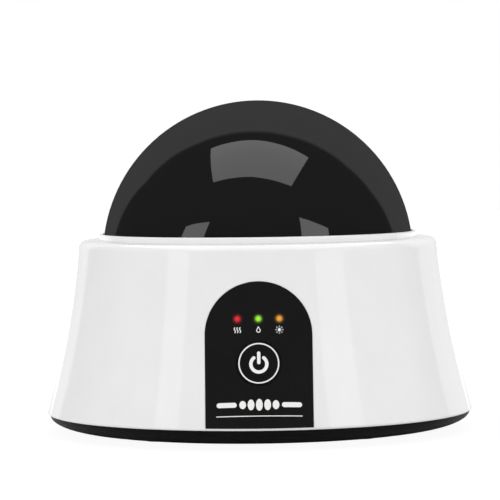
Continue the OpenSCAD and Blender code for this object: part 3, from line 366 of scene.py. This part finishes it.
def disc(bm, u, v, radius, segments=32, tall=1.0):
    """A flat ink spot, or an upright oval."""
    bmesh.ops.create_circle(
        bm,
        cap_ends=True,
        segments=segments,
        radius=radius,
        matrix=Matrix.Translation((u, v, 0)) @ Matrix.Diagonal((1, tall, 1, 1)),
    )


def lay_on_flank(bm, proud):
    """Thickens flat ink and lays it on the surface that stands proud of the bell's flank."""
    bmesh.ops.recalc_face_normals(bm, faces=bm.faces)
    made = bmesh.ops.extrude_face_region(bm, geom=bm.faces[:])["geom"]
    top = [g for g in made if isinstance(g, bmesh.types.BMVert)]
    bmesh.ops.translate(bm, verts=top, vec=(0, 0, INK_T))
    bmesh.ops.recalc_face_normals(bm, faces=bm.faces)
    for vert in bm.verts:
        u, v, w = vert.co
        p = button_at + Vector((u, 0, 0)) + up_panel * v
        for _ in range(FIT_ROUNDS):
            p += out_panel * (flank_r(p.z, proud + w - INK_SUNK) - hypot(p.x, p.y))
        vert.co = p


def arc_points(u, v, radius, start, end, count):
    """Points on a circle between two angles in degrees, counted from the right."""
    turns = [radians(start + (end - start) * i / count) for i in range(count + 1)]
    return [(u + radius * cos(a), v + radius * sin(a)) for a in turns]


def annulus(bm, u, v, inner, outer, segments=96):
    """A flat ink ring."""
    loops = [
        bmesh.ops.create_circle(bm, segments=segments, radius=r, matrix=Matrix.Translation((u, v, 0)))
        for r in (inner, outer)
    ]
    edges = {e for loop in loops for vert in loop["verts"] for e in vert.link_edges}
    bmesh.ops.bridge_loops(bm, edges=list(edges))


def mesh_object(name, bm, mat):
    """Finishes a bmesh as an object at the origin, in the scene's collection."""
    mesh = bpy.data.meshes.new(name)
    bm.to_mesh(mesh)
    bm.free()
    mesh.materials.append(mat)
    obj = bpy.data.objects.new(name, mesh)
    bpy.context.scene.collection.objects.link(obj)
    return obj


# power mark and its ring, on the button's cap
RING_OUTER = 9.75 * MM
RING_INNER = 9.12 * MM
MARK_V = -0.4 * MM
MARK_R = 3.8 * MM
MARK_LINE = 1.6 * MM
MARK_GAP = 38
MARK_PARTS = 40
BAR_TOP = 4.9 * MM
BAR_FOOT = 0.3 * MM

bm = bmesh.new()
annulus(bm, 0, 0, RING_INNER, RING_OUTER)
stroke(bm, arc_points(0, MARK_V, MARK_R, 90 + MARK_GAP, 450 - MARK_GAP, MARK_PARTS), MARK_LINE)
stroke(bm, [(0, BAR_TOP), (0, BAR_FOOT)], MARK_LINE)
lay_on_flank(bm, PANEL_PROUD + BUTTON_PROUD)
button_print = mesh_object("button_print", bm, INK)
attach(button_print, "button")

# signs under the lights: heat waves, a drop of vapour, a small sun
SIGN_V = 16.1 * MM
SIGN_LINE = 0.42 * MM
WAVE_PITCH = 1.25 * MM
WAVE_SWAY = 0.3 * MM
WAVE_STEP = 0.24 * MM
DROP_R = 0.85 * MM
DROP_TIP = 1.45 * MM
DROP_SINK = 0.35 * MM
DROP_FROM, DROP_TO = 35, -215
SUN_R = 0.76 * MM
SUN_RAYS = 8
RAY_REACH = (1.36, 1.85)
RAY_LINE = 0.3 * MM
bm = bmesh.new()
for i in (-1, 0, 1):
    wave = [
        (-LED_PITCH + i * WAVE_PITCH + WAVE_SWAY * sin(t * pi / 5), SIGN_V + (t - 5) * WAVE_STEP)
        for t in range(11)
    ]
    stroke(bm, wave, SIGN_LINE)
drop = [(0.0, SIGN_V + DROP_TIP)]
drop += arc_points(0, SIGN_V - DROP_SINK, DROP_R, DROP_FROM, DROP_TO, 18)
drop += [(0.0, SIGN_V + DROP_TIP)]
stroke(bm, drop, SIGN_LINE)
disc(bm, LED_PITCH, SIGN_V, SUN_R, 24)
for i in range(SUN_RAYS):
    a = radians(360 / SUN_RAYS * i)
    ray = [(LED_PITCH + k * MM * cos(a), SIGN_V + k * MM * sin(a)) for k in RAY_REACH]
    stroke(bm, ray, RAY_LINE)

# a plain ornament low on the panel: five nails between two bars, over a hairline
BAND_V = -19.9 * MM
BAND_HALF = 20.3 * MM
NAIL_PITCH = 3.95 * MM
NAIL_R = 1.6 * MM
NAIL_TALL = [1.2, 1.6, 1.78, 1.65, 1.35]
BAR_IN = 11.9 * MM
BAR_LINE = 2.4 * MM
LINE_V = -25.3 * MM
HAIRLINE = 0.42 * MM
for i, tall in enumerate(NAIL_TALL):
    disc(bm, (i - 2) * NAIL_PITCH, BAND_V, NAIL_R, 28, tall)
for side in (-1, 1):
    ends = [side * (BAR_IN + (BAND_HALF - BAR_LINE / 2 - BAR_IN) * i / 8) for i in range(9)]
    stroke(bm, [(u, BAND_V) for u in ends], BAR_LINE)
stroke(bm, [(BAND_HALF * (i / 20 - 1), LINE_V) for i in range(41)], HAIRLINE)
lay_on_flank(bm, PANEL_PROUD)
panel_print = mesh_object("panel_print", bm, INK)
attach(panel_print, "stand")

# ---------- studio ----------

# white to the camera; a plain level as light, stronger from above; nearly dark where gloss mirrors it
WORLD_SIDE = 0.82
WORLD_TOP = 1.35
WORLD_MIRRORED = 0.03

world = bpy.data.worlds.new("pale_studio")
bpy.context.scene.world = world
world.use_nodes = True
tree = world.node_tree
tree.nodes.clear()
where = add(tree, "ShaderNodeTexCoord")
split = add(tree, "ShaderNodeSeparateXYZ", links={"Vector": where.outputs["Generated"]})
level = add(
    tree,
    "ShaderNodeMapRange",
    {"From Min": 0.0, "From Max": 1.0, "To Min": WORLD_SIDE, "To Max": WORLD_TOP},
    {"Value": split.outputs["Z"]},
)
rays = add(tree, "ShaderNodeLightPath")
white = linear("FFFFFF")
soft = add(tree, "ShaderNodeBackground", {"Color": white}, {"Strength": level.outputs["Result"]})
mirrored = add(tree, "ShaderNodeBackground", {"Color": white, "Strength": WORLD_MIRRORED})
seen = add(tree, "ShaderNodeBackground", {"Color": white, "Strength": 1.0})
gloss_or_soft = add(
    tree,
    "ShaderNodeMixShader",
    links={0: rays.outputs["Is Glossy Ray"], 1: soft.outputs[0], 2: mirrored.outputs[0]},
)
final = add(
    tree,
    "ShaderNodeMixShader",
    links={0: rays.outputs["Is Camera Ray"], 1: gloss_or_soft.outputs[0], 2: seen.outputs[0]},
)
add(tree, "ShaderNodeOutputWorld", links={"Surface": final.outputs[0]})

# floor: pale paper, drawn nearly white, which keeps a soft contact shadow
FLOOR_R = 4.0
FLOOR_GLOW = 0.9
FLOOR_LEVEL = 1.04
FLOOR_COLOUR = "E6E6E6"

mat, tree, out = blank("pale_paper_floor")
paper = add(tree, "ShaderNodeBsdfDiffuse", {"Color": linear(FLOOR_COLOUR)})
lit = add(tree, "ShaderNodeEmission", {"Strength": FLOOR_LEVEL})
rays = add(tree, "ShaderNodeLightPath")
share = add(
    tree, "ShaderNodeMath", {"operation": "MULTIPLY", 1: FLOOR_GLOW}, {0: rays.outputs["Is Camera Ray"]}
)
mixed = add(
    tree, "ShaderNodeMixShader", links={0: share.outputs[0], 1: paper.outputs[0], 2: lit.outputs[0]}
)
tree.links.new(mixed.outputs[0], out.inputs["Surface"])
bm = bmesh.new()
bmesh.ops.create_circle(bm, cap_ends=True, segments=96, radius=FLOOR_R)
floor = mesh_object("floor", bm, mat)


def glow_material(name):
    """Emission whose strength is the mesh's own level attribute."""
    mat, tree, out = blank(name)
    level = add(tree, "ShaderNodeAttribute", {"attribute_name": "level"})
    lit = add(tree, "ShaderNodeEmission", links={"Strength": level.outputs["Fac"]})
    clear = add(tree, "ShaderNodeBsdfTransparent")
    both = add(tree, "ShaderNodeAddShader", links={0: lit.outputs[0], 1: clear.outputs[0]})
    tree.links.new(both.outputs[0], out.inputs["Surface"])
    mat.cycles.emission_sampling = "NONE"
    return mat


GLOW = glow_material("studio_reflector_glow")


def reflector(name, rows, receivers):
    """A lit studio card seen only in gloss: rows of (place, level), joined row to row."""
    bm = bmesh.new()
    tag = bm.verts.layers.float.new("level")
    grid = []
    for row in rows:
        line = []
        for place, value in row:
            vert = bm.verts.new(place)
            vert[tag] = value
            line.append(vert)
        grid.append(line)
    for low, high in zip(grid, grid[1:]):
        for i in range(len(low) - 1):
            bm.faces.new((low[i], low[i + 1], high[i + 1], high[i]))
    card = mesh_object(name, bm, GLOW)
    card.visible_camera = False
    card.visible_diffuse = False
    card.visible_shadow = False
    card.visible_transmission = False
    card.visible_volume_scatter = False
    card.light_linking.receiver_collection = receivers
    return card


def around(azimuth, z, radius):
    """A point at an azimuth from the front, to the right, on an upright cylinder."""
    a = radians(azimuth)
    return Vector((radius * sin(a), -radius * cos(a), z))


black_gloss = bpy.data.collections.new("black_gloss_receivers")
pale_parts = bpy.data.collections.new("pale_receivers")
BLACK_GLOSS = ["visor_dome"]
NO_CARDS = [
    "control_panel", "power_button", "base_plate", "rubber_feet",
    "indicator_lens_red", "indicator_lens_green", "indicator_lens_amber",
]
for name, node in frame["nodes"].items():
    if name in BLACK_GLOSS:
        black_gloss.objects.link(node)
    elif name not in NO_CARDS:
        pale_parts.objects.link(node)

# cards that the dome mirrors: a ceiling softbox and two upright strips
CARD_R = 0.7
CEILING_Z = 0.8
CEILING_LEVEL = 2.18
LEFT_LEVEL = 2.35
RIGHT_LEVEL = 2.4
FOOT_Z = 0.10
CEILING_FRONT = [(-0.412, -0.390), (-0.053, -0.424), (0.346, -0.500)]
CEILING_BACK = [(-0.303, 0.043), (-0.007, 0.018), (0.379, -0.049)]
LEFT_FOOT = [(-59.3, FOOT_Z), (-50.4, FOOT_Z), (-41.6, FOOT_Z)]
LEFT_HEAD = [(-53.8, 0.341), (-48.3, 0.371), (-35.8, 0.406)]
RIGHT_FOOT = [(30.7, FOOT_Z), (50.5, FOOT_Z)]
RIGHT_HEAD = [(32.2, 0.445), (52.6, 0.312)]


def upright(name, rows, level, receivers):
    """A card of one level that stands on the studio's cylinder: rows of (azimuth, z)."""
    return reflector(name, [[(around(a, z, CARD_R), level) for a, z in row] for row in rows], receivers)


reflector(
    "ceiling_softbox",
    [[(Vector((x, y, CEILING_Z)), CEILING_LEVEL) for x, y in row] for row in (CEILING_FRONT, CEILING_BACK)],
    black_gloss,
)
upright("left_strip", [LEFT_FOOT, LEFT_HEAD], LEFT_LEVEL, black_gloss)
upright("right_strip", [RIGHT_FOOT, RIGHT_HEAD], RIGHT_LEVEL, black_gloss)

# the pale sweep behind the dome, dimmer towards its back so that the dome's rim stays even
SWEEP_R = 1.5
SWEEP_EDGE = [
    (-132.5, -12), (-129.8, 5.5), (-117.6, 29.8), (-119.7, 57.6), (-133.0, 70.8), (177.6, 78.6),
    (125.7, 71.4), (112.5, 57.3), (108.2, 42.3), (110.0, 26.4), (117.0, 7.8), (120.4, -12),
]
SWEEP_LEVEL = [
    (0.0, 0.44), (0.266, 0.41), (0.375, 0.335), (0.5, 0.265), (0.643, 0.188), (0.766, 0.125),
    (0.866, 0.078), (0.94, 0.038), (0.985, 0.012), (1.0, 0.0),
]


def direction(azimuth, elevation):
    """A unit vector at an azimuth from the front, to the right, and an elevation, in degrees."""
    a, e = radians(azimuth), radians(elevation)
    return Vector((sin(a) * cos(e), -cos(a) * cos(e), sin(e)))


def sweep_level(back):
    """The sweep's level where its direction points this far to the back, from 0 to 1."""
    for (a, va), (b, vb) in zip(SWEEP_LEVEL, SWEEP_LEVEL[1:]):
        if back <= b:
            return va + (vb - va) * max(back - a, 0) / (b - a)
    return SWEEP_LEVEL[-1][1]


BACK = Vector((0, 1, 0.02)).normalized()
EDGE_PARTS = 4
edge = [direction(*p) for p in SWEEP_EDGE]
fine_edge = [a.slerp(b, i / EDGE_PARTS) for a, b in zip(edge, edge[1:]) for i in range(EDGE_PARTS)]
fine_edge.append(edge[-1])
rows = []
SWEEP_STEPS = [0.0, 0.05, 0.12, 0.25, 0.4, 0.55, 0.7, 0.85, 0.999]
for step in SWEEP_STEPS:
    line = []
    for d in fine_edge:
        p = d.slerp(BACK, step)
        line.append((DOME_CENTRE + p * SWEEP_R, sweep_level(p.y) if step else 0.0))
    rows.append(line)
reflector("pale_sweep", rows, black_gloss)

# cards that the pale parts mirror: a wall all round, two brighter strips and a ceiling
# the wall dims to either side and has a bright back, which lights the housing's outermost edges
WALL_R = CARD_R + 0.05
WALL_LOW, WALL_HIGH = -0.05, 1.0
WALL_STEP = 4
TOP_LEVEL = 2.3
TOP_HALF = 0.8
STRIP_LEVEL = 1.1
WALL = [
    (-180, 0.72), (-165, 0.76), (-157, 0.79), (-153, 0.86), (-145, 0.92), (-136.5, 1.0), (-132, 1.03),
    (-130.7, 0.52), (-126, 0.48), (-110, 0.35), (-103, 0.41), (-91, 0.55), (-76, 0.73), (-66, 0.78),
    (88, 0.78), (94, 0.68), (100, 0.4), (106.5, 0.33), (116.5, 0.3), (118, 0.95), (137, 0.95), (146, 0.91),
    (155, 0.84), (165, 0.8), (180, 0.72),
]
wall = []
for (a, va), (b, vb) in zip(WALL, WALL[1:]):
    count = max(1, int((b - a) / WALL_STEP))
    wall += [(a + (b - a) * i / count, va + (vb - va) * i / count) for i in range(count)]
wall.append(WALL[-1])
reflector(
    "studio_wall",
    [[(around(a, z, WALL_R), v) for a, v in wall] for z in (WALL_LOW, WALL_HIGH)],
    pale_parts,
)
reflector(
    "studio_ceiling",
    [[(Vector((x, y, WALL_HIGH)), TOP_LEVEL) for x in (-TOP_HALF, TOP_HALF)] for y in (-TOP_HALF, TOP_HALF)],
    pale_parts,
)
STRIP_FOOT, STRIP_HEAD = 0.10, 0.36
upright(
    "left_wall_strip",
    [[(-55.2, STRIP_FOOT), (-38.5, STRIP_FOOT)], [(-55.5, STRIP_HEAD), (-45.0, STRIP_HEAD)]],
    STRIP_LEVEL,
    pale_parts,
)
upright(
    "right_wall_strip",
    [[(29.5, STRIP_FOOT), (45.5, STRIP_FOOT)], [(39.5, STRIP_HEAD), (62.0, STRIP_HEAD)]],
    STRIP_LEVEL,
    pale_parts,
)

# ---------- camera: near the front, a little above, rolled slightly ----------

EYE = Vector((0.0036, -1.502, 0.1505))
AIM = Vector((-0.0040, 0, 0.0914))
ROLL = radians(-0.75)
LENS = 212.8
SENSOR = 36
camera = bpy.data.objects.new("camera", bpy.data.cameras.new("camera"))
bpy.context.scene.collection.objects.link(camera)
camera.data.sensor_width = SENSOR
camera.data.lens = LENS
camera.data.clip_start = 0.05
camera.data.clip_end = 20
look = (AIM - EYE).to_track_quat("-Z", "Y").to_matrix().to_4x4()
camera.matrix_world = Matrix.Translation(EYE) @ look @ Matrix.Rotation(ROLL, 4, "Z")
bpy.context.scene.camera = camera
bpy.context.scene.view_settings.view_transform = "Standard"
